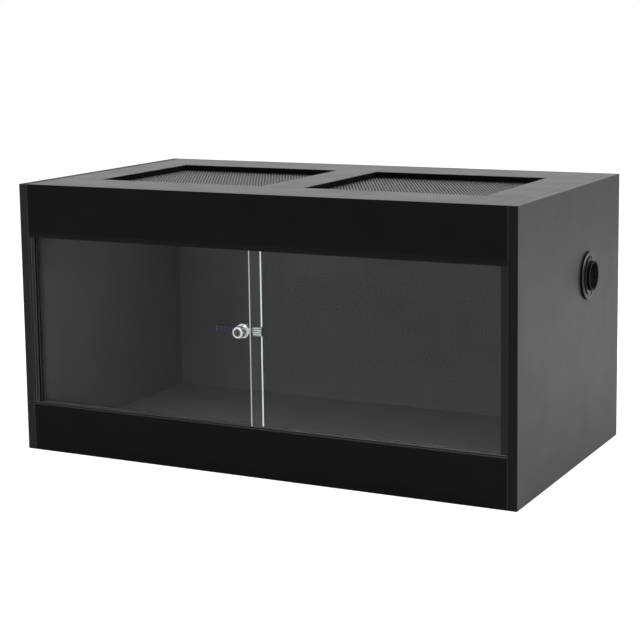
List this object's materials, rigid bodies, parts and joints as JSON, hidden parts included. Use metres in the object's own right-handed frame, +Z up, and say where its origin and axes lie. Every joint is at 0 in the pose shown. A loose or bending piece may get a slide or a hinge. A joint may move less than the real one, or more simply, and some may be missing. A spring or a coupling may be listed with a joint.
{
  "type": "reptile enclosure",
  "caption": "Board cabinet with sliding glass front doors in runners, a ratchet lock on their overlap, screened vents in the top and a round cable port in the side.",
  "frame": {"origin": "middle of the cabinet's underside", "axes": "+X to the right as one faces the doors, +Y to the back, +Z up"},
  "size_m": [0.9105, 0.516, 0.462],
  "materials": {
    "board": "black melamine paper, satin",
    "mesh": "black coated mesh",
    "screw": "zinc plated",
    "runner": "extruded black plastic",
    "glass": "clear float glass, ground edges",
    "bar": "nickel plated strip",
    "chrome": "polished chrome",
    "port": "moulded black plastic",
    "cam": "die-cast zinc",
    "dowel": "beech"
  },
  "bodies": {
    "cabinet": {"left_side_panel": "board", "right_side_panel": "board", "floor_panel": "board", "back_panel": "board", "lower_fascia": "board", "upper_fascia": "board", "top_front_rail": "board", "top_rear_rail": "board", "left_stile": "board", "centre_stile": "board", "right_stile": "board", "left_vent_screen": "mesh", "right_vent_screen": "mesh", "vent_screws": "screw", "bottom_door_track": "runner", "top_door_track": "runner", "left_side_channel": "runner", "right_side_channel": "runner", "port_flange": "port", "port_inner_ring": "port", "port_screws": "screw", "cam_locks": "cam", "cam_bolts": "screw", "wood_dowels": "dowel"},
    "left_door": {"left_glass_door": "glass", "ratchet_bar": "bar"},
    "right_door": {"right_glass_door": "glass"},
    "lock_housing": {"lock_body": "chrome"},
    "lock_cylinder": {"lock_plug": "chrome"}
  },
  "joints": [
    {"name": "left_door_slide", "type": "slide", "parent": "cabinet", "child": "left_door", "axis": [1, 0, 0], "range_m": [0, 0.408]},
    {"name": "right_door_slide", "type": "slide", "parent": "cabinet", "child": "right_door", "axis": [-1, 0, 0], "range_m": [0, 0.392]},
    {"name": "lock_body_slide", "type": "slide", "parent": "cabinet", "child": "lock_housing", "axis": [-1, 0, 0], "range_m": [0, 0.392]},
    {"name": "lock_plug_turn", "type": "hinge", "parent": "lock_housing", "child": "lock_cylinder", "pos_m": [-0.0183, -0.26, 0.24], "axis": [0, 1, 0], "range_deg": [0, 90]}
  ],
  "couplings": [
    {"joint": "lock_body_slide", "follows": "right_door_slide", "ratio": 1}
  ]
}
